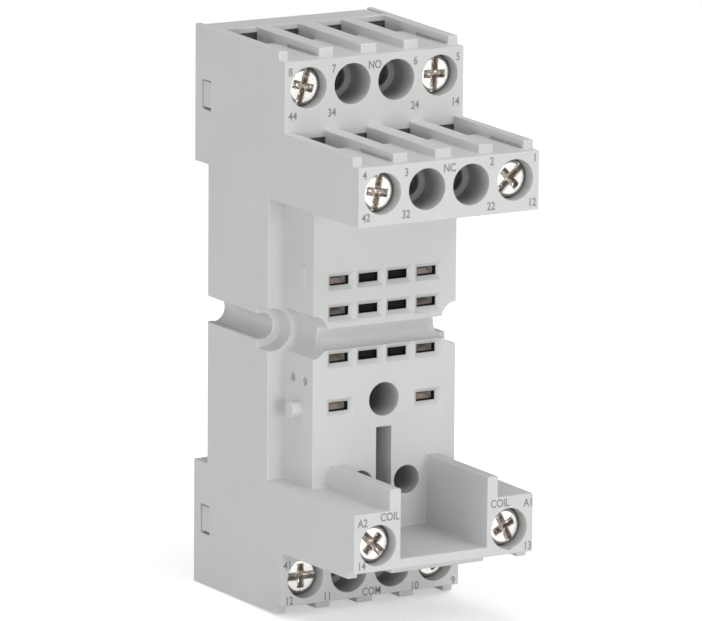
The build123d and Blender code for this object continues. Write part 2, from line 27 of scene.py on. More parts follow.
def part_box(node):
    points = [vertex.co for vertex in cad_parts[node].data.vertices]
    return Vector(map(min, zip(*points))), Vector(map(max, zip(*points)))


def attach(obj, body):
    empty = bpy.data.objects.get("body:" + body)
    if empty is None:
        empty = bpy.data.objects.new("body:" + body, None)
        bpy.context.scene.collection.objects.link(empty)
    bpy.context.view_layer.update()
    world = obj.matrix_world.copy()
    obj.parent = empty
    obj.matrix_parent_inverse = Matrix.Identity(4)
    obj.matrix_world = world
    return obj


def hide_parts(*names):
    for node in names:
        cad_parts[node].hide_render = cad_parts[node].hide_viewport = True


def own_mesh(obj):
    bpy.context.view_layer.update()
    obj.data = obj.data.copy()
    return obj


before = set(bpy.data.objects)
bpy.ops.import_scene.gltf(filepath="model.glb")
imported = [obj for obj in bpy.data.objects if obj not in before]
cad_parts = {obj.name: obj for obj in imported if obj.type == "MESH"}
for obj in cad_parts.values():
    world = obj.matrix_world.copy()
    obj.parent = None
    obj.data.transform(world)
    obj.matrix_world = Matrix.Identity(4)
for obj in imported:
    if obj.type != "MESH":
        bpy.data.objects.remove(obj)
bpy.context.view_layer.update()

MM = 0.001
HALF_DEPTH = 21.25
LOG = logging.getLogger("relay_socket")


class Slot(Enum):
    """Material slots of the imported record."""

    HOUSING = "housing_plastic"
    COVER = "cover_plastic"
    LATCH = "latch_plastic"
    SPRING = "spring_steel"
    CONTACT = "contact_copper"
    CAGE = "cage_steel"
    SCREW = "screw_nickel"


class Body(Enum):
    """Bodies that do not depend on a terminal's number."""

    SOCKET = "socket"
    LATCH = "latch"


# Shared shader groups


def new_group(name: str, inputs: dict[str, float], outputs: tuple[str, ...]) -> NodeTree:
    """Start a shader node group with float sockets.

    Args:
        name: name of the group.
        inputs: input sockets with their default values.
        outputs: names of the output sockets.

    Returns:
        The node tree, with its input and output nodes in place.
    """
    tree = bpy.data.node_groups.new(name, "ShaderNodeTree")
    for key, value in inputs.items():
        socket = tree.interface.new_socket(key, in_out="INPUT", socket_type="NodeSocketFloat")
        socket.default_value = value
    for key in outputs:
        tree.interface.new_socket(key, in_out="OUTPUT", socket_type="NodeSocketFloat")
    tree.nodes.new("NodeGroupInput").name = "in"
    tree.nodes.new("NodeGroupOutput").name = "out"
    return tree


def set_inputs(tree: NodeTree, node: Node,
               inputs: dict[object, object]) -> None:
    """Set or link the inputs of a node.

    Args:
        tree: tree that holds the node.
        node: node whose inputs are set.
        inputs: for each input its value, or the socket that it comes from.
    """
    for key, value in inputs.items():
        if isinstance(value, NodeSocket):
            tree.links.new(value, node.inputs[key])
        else:
            node.inputs[key].default_value = value


def add_node(tree: NodeTree, kind: str, inputs: dict[object, object],
             **options: object) -> Node:
    """Add a shader node.

    Args:
        tree: tree that the node is added to.
        kind: the node's type, without its common start.
        inputs: for each input its value, or the socket that it comes from.
        options: the node's own settings.

    Returns:
        The node.
    """
    node = tree.nodes.new(f"ShaderNode{kind}")
    for key, value in options.items():
        setattr(node, key, value)
    set_inputs(tree, node, inputs)
    return node


def fine_grain() -> NodeTree:
    """Build the group for the grain of a surface.

    A close noise gives the height of the grain and a wide one gives slow
    changes of tone, both on Object coordinates in metres.

    Returns:
        Group with inputs Grain, Spread and Detail and outputs Height and Tone.
    """
    tree = new_group("fine_grain", {"Grain": 5000.0, "Spread": 80.0, "Detail": 3.0},
                     ("Height", "Tone"))
    given = tree.nodes["in"].outputs
    place = add_node(tree, "TexCoord", {}).outputs["Object"]
    close = add_node(tree, "TexNoise", {
        "Vector": place, "Scale": given["Grain"], "Detail": given["Detail"]})
    wide = add_node(tree, "TexNoise", {
        "Vector": place, "Scale": given["Spread"], "Detail": 4.0, "Roughness": 0.6})
    stretch = add_node(tree, "MapRange", {
        "Value": wide.outputs["Fac"], "From Min": 0.3, "From Max": 0.7})
    set_inputs(tree, tree.nodes["out"], {
        "Height": close.outputs["Fac"], "Tone": stretch.outputs["Result"]})
    return tree


def flecks(softness: float = 0.08) -> NodeTree:
    """Build the group for small flecks: dull flecks on a plated or moulded surface, and painted
    glints in a recess.

    A fleck is where a noise of the given scale falls under a limit.

    Args:
        softness: how far under the limit a fleck is at its full strength.

    Returns:
        Group with inputs Scale and Amount and output Mask, 1 inside a fleck.
    """
    tree = new_group("flecks", {"Scale": 4000.0, "Amount": 0.3}, ("Mask",))
    given = tree.nodes["in"].outputs
    place = add_node(tree, "TexCoord", {}).outputs["Object"]
    noise = add_node(tree, "TexNoise", {
        "Vector": place, "Scale": given["Scale"], "Detail": 2.0})
    less = add_node(tree, "Math", {0: given["Amount"], 1: softness}, operation="SUBTRACT")
    edge = add_node(tree, "MapRange", {
        "Value": noise.outputs["Fac"], "From Min": less.outputs["Value"],
        "From Max": given["Amount"], "To Min": 1.0, "To Max": 0.0},
        interpolation_type="SMOOTHSTEP")
    set_inputs(tree, tree.nodes["out"], {"Mask": edge.outputs["Result"]})
    return tree


# Finishes


@dataclass(frozen=True)
class Finish:
    """A finish whose tone, roughness and relief change over the surface.

    The base colour goes from dark to light with the slow tone, flecks pull
    it towards the fleck colour, and the grain gives relief and roughness.
    Where the attribute "recess" grows, the colour goes to a darker one: painted shade, with
    painted glints where asked.
    """

    name: str
    slot: Slot
    light: tuple[float, float, float]
    dark: tuple[float, float, float]
    fleck: tuple[float, float, float]
    roughness: tuple[float, float]
    spread: float
    metallic: float = 0.0
    grain: float = 6500.0
    fleck_scale: float = 5200.0
    fleck_amount: float = 0.3
    relief: float = 0.012
    relief_strength: float = 0.3
    specular: float = 0.5
    # Painted shade in recesses, its roughness, and the amount and scale of painted glints in
    # it.
    painted_shade_tone: float = 0.0
    recess_dullness: float = 0.08
    painted_glint_amount: float = 0.0
    glint_share: float = 0.45

    def make(self, groups: dict[str, NodeTree]) -> Material:
        """Make the material.

        Args:
            groups: the shared shader groups by name.

        Returns:
            The material, with its nodes linked.
        """
        material = bpy.data.materials.new(self.name)
        material.use_nodes = True
        tree = material.node_tree
        grain = add_node(tree, "Group", {"Grain": self.grain, "Spread": self.spread},
                         node_tree=groups["fine_grain"])
        spots = add_node(tree, "Group", {"Scale": self.fleck_scale,
                                         "Amount": self.fleck_amount},
                         node_tree=groups["flecks"])
        tone = self.mix(tree, grain.outputs["Tone"], self.dark, self.light)
        colour = self.mix(tree, spots.outputs["Mask"], tone, self.fleck)
        rough = add_node(tree, "MapRange", {
            "Value": grain.outputs["Height"], "To Min": self.roughness[0],
            "To Max": self.roughness[1]}).outputs["Result"]
        if self.painted_shade_tone:
            colour, rough = self.with_painted_recess_shade(tree, groups, colour, rough)
        bump = add_node(tree, "Bump", {
            "Strength": self.relief_strength, "Distance": self.relief * MM,
            "Height": grain.outputs["Height"]})
        set_inputs(tree, tree.nodes["Principled BSDF"], {
            "Base Color": colour, "Roughness": rough, "Normal": bump.outputs["Normal"],
            "Metallic": self.metallic, "Specular IOR Level": self.specular})
        return material

    def with_painted_recess_shade(self, tree: NodeTree, groups: dict[str, NodeTree],
                    colour: NodeSocket, rough: NodeSocket,
                    ) -> tuple[NodeSocket, NodeSocket]:
        """Paint shade, with painted glints where asked, where the surface lies in a recess, and
        dull it there.

        Args:
            tree: tree of the material.
            groups: the shared shader groups by name.
            colour: colour outside the recess.
            rough: roughness outside the recess.

        Returns:
            The sockets of the colour and of the roughness.
        """
        recess = add_node(tree, "Attribute", {}, attribute_name="recess").outputs["Fac"]
        # Painted shade: a darker copy of the fleck colour, with painted glints of the light
        # colour where asked.
        painted_shade_colour = tuple(self.painted_shade_tone * value for value in self.fleck)
        if self.painted_glint_amount:
            glints = add_node(tree, "Group", {"Scale": self.glint_share * self.fleck_scale,
                                              "Amount": self.painted_glint_amount},
                              node_tree=groups["flecks"])
            painted_shade_colour = self.mix(tree, glints.outputs["Mask"], painted_shade_colour, self.light)
        dull = add_node(tree, "Math", {0: recess, 1: self.recess_dullness, 2: rough},
                        operation="MULTIPLY_ADD")
        return self.mix(tree, recess, colour, painted_shade_colour), dull.outputs["Value"]

    @staticmethod
    def mix(tree: NodeTree, factor: NodeSocket, low: object,
            high: object) -> NodeSocket:
        """Mix two colours.

        Args:
            tree: tree of the material.
            factor: socket of the share that the second colour has.
            low: the first colour, or the socket that it comes from.
            high: the second colour, or the socket that it comes from.

        Returns:
            The socket of the mixed colour.
        """
        first, second = ((*value, 1.0) if isinstance(value, tuple) else value
                         for value in (low, high))
        node = add_node(tree, "Mix", {"Factor": factor, 6: first, 7: second},
                        data_type="RGBA")
        return node.outputs[2]


# The housing's recess tone paints shade inside its round holes.
HOUSING_FINISH = Finish(
    "grey_moulded_housing", Slot.HOUSING, (0.613, 0.624, 0.619), (0.588, 0.599, 0.594),
    (0.53, 0.54, 0.535), (0.38, 0.52), 120.0, painted_shade_tone=0.56)
COVER_FINISH = Finish(
    "grey_moulded_cover", Slot.COVER, (0.595, 0.605, 0.597), (0.57, 0.58, 0.572),
    (0.52, 0.53, 0.525), (0.42, 0.56), 140.0)
LATCH_FINISH = Finish(
    "grey_moulded_latch", Slot.LATCH, (0.565, 0.575, 0.575), (0.54, 0.55, 0.55),
    (0.49, 0.495, 0.49), (0.36, 0.50), 150.0, grain=5600.0, fleck_amount=0.28,
    relief=0.010, relief_strength=0.25)
SPRING_FINISH = Finish(
    "drawn_spring_wire", Slot.SPRING, (0.62, 0.61, 0.60), (0.50, 0.495, 0.49),
    (0.35, 0.33, 0.31), (0.22, 0.42), 900.0, metallic=1.0, grain=9000.0,
    fleck_scale=7000.0, fleck_amount=0.32, relief=0.004)
CONTACT_FINISH = Finish(
    "stamped_copper_alloy", Slot.CONTACT, (1.0, 0.93, 0.88), (0.94, 0.82, 0.74),
    (0.55, 0.43, 0.36), (0.26, 0.46), 420.0, metallic=0.4, grain=7000.0,
    fleck_scale=3600.0, fleck_amount=0.34, relief=0.006)
CAGE_FINISH = Finish(
    "zinc_plated_cage", Slot.CAGE, (0.72, 0.72, 0.70), (0.58, 0.58, 0.56),
    (0.40, 0.39, 0.36), (0.28, 0.50), 520.0, metallic=1.0, grain=5200.0,
    fleck_scale=3200.0, fleck_amount=0.35, relief=0.006)
# The screw's recess tone and glints paint shade and highlights into its drive.
SCREW_FINISH = Finish(
    "bright_nickel_screw", Slot.SCREW, (0.94, 0.93, 0.91), (0.86, 0.84, 0.81),
    (0.52, 0.46, 0.40), (0.16, 0.32), 900.0, metallic=1.0, grain=6000.0,
    fleck_amount=0.37, relief=0.006, painted_shade_tone=0.62, painted_glint_amount=0.42)
INK_FINISH = Finish(
    "grey_marking_ink", Slot.HOUSING, (0.27, 0.27, 0.27), (0.22, 0.22, 0.22),
    (0.34, 0.34, 0.34), (0.50, 0.66), 1500.0, grain=9000.0, fleck_scale=9000.0,
    fleck_amount=0.32, relief=0.003)
# Near-black finish of the sheets that stand for painted shade in the relay slots.
CHAMBER_SHADE_FINISH = Finish(
    "painted_chamber_shade", Slot.HOUSING, (0.018, 0.018, 0.022), (0.012, 0.012, 0.016),
    (0.008, 0.008, 0.010), (0.60, 0.75), 500.0, relief=0.006, specular=0.12)
# Dark finish of the plates that paint the shade in the wire holes, with some metal sheen of the
# clamp.
ENTRY_SHADE_FINISH = Finish(
    "wire_entry_shade_and_clamp_metal", Slot.CAGE, (0.15, 0.125, 0.12), (0.085, 0.07, 0.068),
    (0.035, 0.03, 0.03), (0.34, 0.55), 900.0, metallic=0.6, grain=5200.0,
    fleck_scale=3800.0, fleck_amount=0.42, relief=0.008)
FINISHES = (HOUSING_FINISH, COVER_FINISH, LATCH_FINISH, SPRING_FINISH, CONTACT_FINISH,
            CAGE_FINISH, SCREW_FINISH, INK_FINISH, CHAMBER_SHADE_FINISH, ENTRY_SHADE_FINISH)
Materials = dict[Finish, Material]


# Meshes worked out as arrays


def in_frame(across: Array, depth: Array, height: Array) -> Array:
    """Points in metres from places in millimetres, with depths from the rear."""
    return np.stack(np.broadcast_arrays(across, HALF_DEPTH - depth, height), axis=-1) * MM


def rectangle_rings(across: float, height: float,
                    rings: tuple[tuple[float, float, float], ...]) -> Array:
    """Carry a rectangle along the depth, from ring to ring.

    Args:
        across: the middle of every ring from left to right.
        height: the middle of every ring's height.
        rings: half width, half height and depth of each ring.

    Returns:
        Grid of points in metres, closed round each ring.
    """
    corners = np.array(((-1, -1), (1, -1), (1, 1), (-1, 1), (-1, -1)))
    wide, high, depth = np.array(rings)[:, :, None].transpose(1, 0, 2)
    return in_frame(across + wide * corners[:, 0], depth, height + high * corners[:, 1])


def grid_quads(rows: int, columns: int, start: int = 0) -> Array:
    """Quads between the points of a grid stored row by row.

    Args:
        rows: points along the first parameter.
        columns: points along the second parameter.
        start: index of the grid's first point.

    Returns:
        Array of four point indices for each quad.
    """
    i, j = np.meshgrid(np.arange(rows - 1), np.arange(columns - 1), indexing="ij")
    first = (i * columns + j).ravel() + start
    return np.stack((first, first + 1, first + columns + 1, first + columns), axis=1)


def closed_mesh(name: str, grids: list[Array], gap: float = 2e-7) -> Mesh:
    """Join grids of points into one closed mesh with outward faces.

    Points nearer than the gap are merged, which closes seams and poles.

    Args:
        name: name of the mesh.
        grids: arrays of shape (rows, columns, 3) in metres.
        gap: distance under which points are merged, in metres.

    Returns:
        The smooth shaded mesh.
    """
    points = np.concatenate([grid.reshape(-1, 3) for grid in grids])
    starts = np.cumsum([0] + [grid.shape[0] * grid.shape[1] for grid in grids[:-1]])
    quads = np.concatenate([grid_quads(*grid.shape[:2], start)
                            for grid, start in zip(grids, starts)])
    mesh = bpy.data.meshes.new(name)
    mesh.from_pydata(points, [], quads)
    work = bmesh.new()
    work.from_mesh(mesh)
    bmesh.ops.remove_doubles(work, verts=work.verts, dist=gap)
    bmesh.ops.dissolve_degenerate(work, edges=work.edges, dist=gap)
    bmesh.ops.recalc_face_normals(work, faces=work.faces)
    work.to_mesh(mesh)
    work.free()
    mesh.polygons.foreach_set("use_smooth", np.ones(len(mesh.polygons), dtype=bool))
    return mesh


def read_array(items: object, key: str, width: int, kind: type = np.float64) -> Array:
    """Read one property of all elements of a mesh.

    Args:
        items: the mesh's vertices, edges, loops or polygons.
        key: name of the property.
        width: count of numbers that each element has.
        kind: type of the numbers.

    Returns:
        Array of shape (elements, width), or flat where the width is 1.
    """
    values = np.empty(len(items) * width, dtype=kind)
    items.foreach_get(key, values)
    return values.reshape(-1, width) if width > 1 else values


def mesh_points(mesh: Mesh) -> Array:
    """Read a mesh's points as an array of shape (count, 3)."""
    return read_array(mesh.vertices, "co", 3)


def store_recess(mesh: Mesh, recess: Array) -> None:
    """Store how far each point lies in a recess, for the finish."""
    layer = mesh.attributes.new("recess", "FLOAT", "POINT")
    layer.data.foreach_set("value", recess.astype(np.float32))


def add_piece(mesh: Mesh, finish: Finish, materials: Materials, body: str,
              node: str | None = None) -> Object:
    """Link a finished mesh as a piece of the socket, named as the mesh is.

    Args:
        mesh: mesh in the row's frame, in metres.
        finish: finish of the piece.
        materials: material of each finish.
        body: body that the piece rides on.
        node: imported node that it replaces, if it replaces one.

    Returns:
        The object, at the origin and unturned.
    """
    mesh.materials.clear()
    mesh.materials.append(materials[finish])
    piece = bpy.data.objects.new(mesh.name, mesh)
    bpy.context.scene.collection.objects.link(piece)
    if node is not None:
        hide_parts(node)
    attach(piece, body)
    triangles = sum(len(polygon.vertices) - 2 for polygon in mesh.polygons)
    LOG.info("%s rides %s with %d triangles before its modifiers", mesh.name, body, triangles)
    return piece


# Pieces made from their solids


@dataclass
class SoftenedPiece:
    """A moulded or stamped piece: its own solid with softened edges.

    An edge's bevel is as wide as asked, or as its nearest neighbour across
    the surface allows, and is the same along each run of edges.
    """

    node: str
    name: str
    finish: Finish
    width: float
    body: str = Body.SOCKET.value
    share: float = 0.4
    least: float = 0.012
    segments: int = 3
    sharp_angle: float = 28.0
    run_angle: float = 40.0
    merge: float = 0.001
    flat_angle: float = 0.6
    batch: ClassVar[int] = 160

    def build(self, materials: Materials) -> Object:
        """Copy, merge and soften the node's mesh.

        Args:
            materials: material of each finish.

        Returns:
            The finished piece.
        """
        mesh = self.merged_copy()
        weights = self.bevel_weights(mesh)
        layer = mesh.attributes.new("bevel_weight_edge", "FLOAT", "EDGE")
        layer.data.foreach_set("value", weights)
        mesh.polygons.foreach_set("use_smooth", np.ones(len(mesh.polygons), dtype=bool))
        piece = add_piece(mesh, self.finish, materials, self.body, self.node)
        bevel = piece.modifiers.new("softened_edges", "BEVEL")
        bevel.limit_method = "WEIGHT"
        bevel.width = self.width * MM
        bevel.segments = self.segments
        bevel.profile = 0.5
        bevel.use_clamp_overlap = False
        bevel.miter_outer = "MITER_SHARP"
        normals = piece.modifiers.new("even_shading", "WEIGHTED_NORMAL")
        normals.mode = "FACE_AREA"
        normals.weight = 60
        normals.keep_sharp = True
        return piece

    def merged_copy(self) -> Mesh:
        """Copy the node's mesh.

        Returns:
            The copy, with its doubles merged and its flat faces joined.
        """
        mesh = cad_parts[self.node].data.copy()
        mesh.name = self.name
        for name in [layer.name for layer in mesh.uv_layers]:
            mesh.uv_layers.remove(mesh.uv_layers[name])
        work = bmesh.new()
        work.from_mesh(mesh)
        bmesh.ops.remove_doubles(work, verts=work.verts, dist=self.merge * MM)
        bmesh.ops.dissolve_degenerate(work, edges=work.edges, dist=self.merge * MM)
        bmesh.ops.dissolve_limit(work, angle_limit=radians(self.flat_angle),
                                 verts=work.verts, edges=work.edges)
        work.to_mesh(mesh)
        work.free()
        return mesh

    def bevel_weights(self, mesh: Mesh) -> Array:
        """Work out each edge's share of the bevel's width.

        The angle of an edge comes from the length of the sum of its two
        faces' normals. For each sharp edge the nearest sharp edge that isn't
        its neighbour is found by the distance from points along the one to
        the line of the other. A run of edges takes the least of its edges.

        Args:
            mesh: merged mesh of the piece.

        Returns:
            One weight for each edge, 0 where nothing is softened.
        """
        points = mesh_points(mesh)
        ends = read_array(mesh.edges, "vertices", 2, np.int64)
        turn, count = self.edge_turns(mesh, len(ends))
        sharp = np.flatnonzero((turn > radians(self.sharp_angle)) & (count == 2))
        lines = ends[sharp]
        weights = np.zeros(len(ends))
        if not len(lines):
            return weights
        runs = self.runs(points, lines)
        near = self.clearances(points, lines, runs)
        least = np.full(len(lines), np.inf)
        np.minimum.at(least, runs, near)
        width = np.minimum(self.width * MM, self.share * least[runs])
        width[width < self.least * MM] = 0.0
        weights[sharp] = width / (self.width * MM)
        flags = np.zeros(len(ends), dtype=bool)
        flags[sharp[width == 0.0]] = True
        mesh.attributes.new("sharp_edge", "BOOLEAN", "EDGE")
        mesh.attributes["sharp_edge"].data.foreach_set("value", flags)
        return weights

    @staticmethod
    def edge_turns(mesh: Mesh, count: int) -> tuple[Array, Array]:
        """Find the angle between the faces at each edge.

        Args:
            mesh: mesh with flat faces.
            count: number of its edges.

        Returns:
            The angle in radians and the number of faces of each edge.
        """
        edge = read_array(mesh.loops, "edge_index", 1, np.int64)
        sizes = read_array(mesh.polygons, "loop_total", 1, np.int64)
        each = np.repeat(read_array(mesh.polygons, "normal", 3), sizes, axis=0)
        total = np.zeros((count, 3))
        np.add.at(total, edge, each)
        faces = np.bincount(edge, minlength=count)
        cosine = ((total ** 2).sum(1) - 2) / 2
        return np.arccos(np.clip(cosine, -1, 1)), faces

    def runs(self, points: Array, lines: Array) -> Array:
        """Number the runs of edges that go on without a corner.

        Two edges are in one run where they alone meet at a point and turn by
        less than the run's angle. Labels spread until none changes.

        Args:
            points: points of the mesh.
            lines: the two point indices of each sharp edge.

        Returns:
            The run's number of each edge.
        """
        label = np.arange(len(lines))
        order = np.argsort(lines.ravel(), kind="stable")
        owner, vertex = order // 2, lines.ravel()[order]
        first = np.unique(vertex, return_index=True)[1]
        number = np.diff(np.append(first, len(vertex)))
        pair = first[number == 2]
        one, two, at = owner[pair], owner[pair + 1], vertex[pair]
        along = []
        for side in (one, two):
            other = np.where(lines[side, 0] == at, lines[side, 1], lines[side, 0])
            away = points[other] - points[at]
            along.append(away / np.linalg.norm(away, axis=1, keepdims=True))
        straight = -(along[0] * along[1]).sum(1) > cos(radians(self.run_angle))
        one, two = one[straight], two[straight]
        while True:
            before = label.copy()
            low = np.minimum(label[one], label[two])
            np.minimum.at(label, one, low)
            np.minimum.at(label, two, low)
            label = label[label]
            if (label == before).all():
                return label

    @classmethod
    def clearances(cls, points: Array, lines: Array, runs: Array) -> Array:
        """Find each edge's distance to the nearest edge that isn't its neighbour.

        The work goes in batches of edges, to keep the arrays small.

        Args:
            points: points of the mesh.
            lines: the two point indices of each sharp edge.
            runs: the run's number of each edge.

        Returns:
            The distance for each edge, in metres.
        """
        points = points.astype(np.float32)
        start, end = points[lines[:, 0]], points[lines[:, 1]]
        span = end - start
        length = (span ** 2).sum(1)
        marks = np.array((0.0, 0.5, 1.0), dtype=np.float32)
        probes = (start[:, None] + marks[None, :, None] * span[:, None]).reshape(-1, 3)
        owner = np.repeat(np.arange(len(lines)), len(marks))
        near = np.full(len(lines), np.inf)
        for first in range(0, len(lines), cls.batch):
            some = slice(first, first + cls.batch)
            offset = probes[None] - start[some, None]
            place = (offset * span[some, None]).sum(2) / length[some, None]
            foot = np.clip(place, 0, 1)[..., None] * span[some, None]
            gap = np.sqrt(((offset - foot) ** 2).sum(2))
            mine, theirs = lines[some], lines[owner]
            linked = (mine[:, None, :, None] == theirs[None, :, None, :]).any((2, 3))
            linked |= runs[some, None] == runs[owner][None]
            gap[linked] = np.inf
            near[some] = np.minimum(near[some], gap.min(1))
            np.minimum.at(near, owner, gap.min(0))
        return near


@dataclass
class HoledHousing(SoftenedPiece):
    """The housing, with shade painted inside its round holes, where little light gets in.

    The attribute "recess" grows with the depth behind each hole's mouth. A
    row of holes has its places across, height, mouth depth and reach.
    """

    holes: tuple[tuple[tuple[float, ...], float, float, float], ...] = (
        ((-9.9, -3.3, 3.3, 9.9), 70.2, 23.55, 3.0), ((-9.9, -3.3, 3.3, 9.9), 59.5, 42.5, 3.0),
        ((-9.9, -3.3, 3.3, 9.9), 5.05, 23.55, 3.0), ((-9.9, 9.9), 13.3, 42.0, 3.0),
        ((0.0,), 28.6, 26.6, 2.35), ((-3.5, 3.5), 17.45, 22.6, 2.0))
    lit: float = 0.2
    fade: float = 3.2
    most: float = 1.8

    def build(self, materials: Materials) -> Object:
        """Build the softened housing and shade its holes.

        Args:
            materials: material of each finish.

        Returns:
            The finished piece.
        """
        piece = super().build(materials)
        across, front, height = (mesh_points(piece.data) / MM).T
        shade = np.zeros(len(across))
        for places, middle, mouth, reach in self.holes:
            sunk = np.clip((mouth - self.lit - HALF_DEPTH + front) / self.fade, 0, self.most)
            for place in places:
                near = np.hypot(across - place, height - middle) < reach
                shade = np.maximum(shade, near * sunk)
        store_recess(piece.data, shade)
        return piece


# Pieces worked out from formulas


class FormedPiece(ABC):
    """A piece whose mesh is worked out from formulas."""

    finish: ClassVar[Finish]
    body: ClassVar[str] = Body.SOCKET.value
    node: ClassVar[str | None] = None
    crease: ClassVar[float] = 180.0

    @abstractmethod
    def mesh(self) -> Mesh:
        """Make the mesh, in metres, with the piece's name."""

    def build(self, materials: Materials) -> Object:
        """Build the piece, with sharp edges where they turn by the crease's angle.

        Args:
            materials: material of each finish.

        Returns:
            The finished piece.
        """
        mesh = self.mesh()
        if self.crease < 180.0:
            mesh.set_sharp_from_angle(angle=radians(self.crease))
        return add_piece(mesh, self.finish, materials, self.body, self.node)


@dataclass
class TerminalScrew(FormedPiece):
    """Captive terminal screw with a slotted and crossed head.

    The head is a square grid in its middle and a ring grid outside it, whose
    lines run along the walls of the slot and of the cross. A point's depth
    under the head's face is the greater of the rim's profile and the drive's.
    """

    number: int
    turn: float
    radius: float = 2.5
    flat_radius: float = 2.05
    head_length: float = 3.05
    neck_radius: float = 1.75
    neck_end: float = 4.25
    tip: float = 10.3
    thread_radius: float = 1.45
    thread_depth: float = 0.27
    pitch: float = 0.5
    drive_width: float = 0.98
    drive_foot: float = 0.54
    drive_depth: float = 0.95
    face_lift: float = 0.6
    lifted: float = 1.4
    cross_length: float = 3.2
    square: float = 1.42
    straight: float = 0.62
    foot_roll: float = 0.05
    rim_roll: float = 0.06
    floor_rise: float = 0.20
    ripple: float = 0.06
    run_out: float = 0.5
    finish: ClassVar[Finish] = SCREW_FINISH
    crease: ClassVar[float] = 38.0

    @property
    def body(self) -> str:
        """Body that the screw is."""
        return f"screw_{self.number}"

    @property
    def node(self) -> str:
        """Name of the screw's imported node."""
        return f"terminal_screw_{self.number}"

    def mesh(self) -> Mesh:
        """Make the screw in its terminal."""
        grids = [*self.head(), self.neck(), self.thread()]
        mesh = closed_mesh(f"turned_screw_{self.number}", [self.placed(grid) for grid in grids])
        self.paint_recess(mesh)
        return mesh

    def centre(self) -> Vector:
        """Middle of the head's face, in metres."""
        low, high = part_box(self.node)
        return Vector(((low.x + high.x) / 2, low.y, (low.z + high.z) / 2))

    def placed(self, grid: Array) -> Array:
        """Turn a grid about the screw's axis and move it to its terminal.

        Args:
            grid: points as right, up and depth under the face, in millimetres.

        Returns:
            The points in the row's frame, in metres.
        """
        c, s = cos(radians(self.turn)), sin(radians(self.turn))
        right = c * grid[..., 0] + s * grid[..., 1]
        up = -s * grid[..., 0] + c * grid[..., 1]
        place = self.centre()
        return np.stack((place.x + right * MM, place.y + grid[..., 2] * MM,
                         place.z + up * MM), axis=-1)

    def wall(self, distance: Array) -> Array:
        """Depth share of a sloped drive wall: 1 inside, 0 outside, with rolled edges."""
        half, foot = self.drive_width / 2, self.drive_foot / 2
        return np.interp(distance, (foot, foot + self.foot_roll, half, half + self.rim_roll),
                         (1.0, 0.90, 0.06, 0.0))

    def floor_ripple(self, x: Array, y: Array) -> Array:
        """Share of the drive's depth at a place.

        The floor rises to the rim with the square of the radius, and two
        crossed sine waves give it the uneven lustre of a struck recess.
        """
        rise = self.floor_rise * (x ** 2 + y ** 2) / self.radius ** 2
        return 1.0 - rise + self.ripple * np.sin(17 * x + 6 * y) * np.sin(14 * y - 9 * x)

    def head(self) -> list[Array]:
        """Grids of the head: middle square and the ring out to its rear.

        Returns:
            Five grids of right, up and depth, in millimetres.
        """
        half, foot = self.drive_width / 2, self.drive_foot / 2
        side = np.array((0.0, 0.08, 0.16, foot, foot + self.foot_roll,
                         (foot + half) / 2 + 0.02, half, half + self.rim_roll,
                         self.straight, 0.75, 0.9, 1.05, 1.2, 1.32, self.square))
        line = np.concatenate((-side[:0:-1], side))
        x, y = np.meshgrid(line, line, indexing="ij")
        depth = self.drive_depth * np.maximum(self.wall(np.abs(x)), self.wall(np.abs(y)))
        depth = depth * self.floor_ripple(x, y)
        grids = [np.stack((x, y, depth), axis=-1)]
        for quarter in range(4):
            grids.append(self.ring(line, quarter))
        for grid in grids:
            share = (self.head_length - grid[..., 2]) / (self.head_length - self.lifted)
            grid[..., 2] -= self.face_lift * np.clip(share, 0, 1)
        return grids

    def ring(self, line: Array, quarter: int) -> Array:
        """Quarter of the head outside its middle square.

        Its columns start at the square's side and end on circles. Near the
        drive they keep their place along the side, so that walls stay
        straight, and further out they spread evenly to the corners.

        Args:
            line: places along the side of the square.
            quarter: 0 right, 1 up, 2 left and 3 down.

        Returns:
            Grid of right, up and depth, in millimetres.
        """
        end = (self.cross_length / 2 - self.square) / (self.flat_radius - self.square)
        steps = np.array((0.0, end - 0.05, end - 0.03, end, end + 0.06, 0.6, 0.8, 1.0))
        outer = np.array(((2.075, 0.010), (2.12, 0.05), (2.28, 0.21), (2.42, 0.35),
                          (2.47, 0.41), (2.495, 0.47), (2.5, 0.56), (2.5, 0.8), (2.5, 1.0),
                          (2.5, 1.3), (2.5, 2.2), (2.5, self.head_length - 0.06),
                          (2.44, self.head_length), (1.9, self.head_length),
                          (0.9, self.head_length), (0.0, self.head_length)))
        start = np.stack((np.full_like(line, self.square), line), axis=-1)
        flat = self.on_circle(line, self.flat_radius)
        inner = start[None] + steps[:, None, None] * (flat - start)[None]
        rim = np.stack([self.on_circle(line, radius) for radius in outer[:, 0]])
        rows = np.concatenate((inner, rim))
        profile = np.concatenate((np.zeros(len(steps)), outer[:, 1]))
        share = self.wall(np.abs(line))[None]
        if quarter % 2 == 0:
            stop = np.interp(np.arange(len(profile)), (0, 1, 2, 3, 4), (1, 1, 0.93, 0.05, 0))
            share = share * stop[:, None]
        c, s = round(cos(quarter * pi / 2)), round(sin(quarter * pi / 2))
        x = c * rows[..., 0] - s * rows[..., 1]
        y = s * rows[..., 0] + c * rows[..., 1]
        struck = self.drive_depth * share * self.floor_ripple(x, y)
        depth = np.maximum(profile[:, None], struck)
        behind = profile >= self.head_length - 1e-9
        depth[behind] = profile[behind, None]
        return np.stack((x, y, depth), axis=-1)

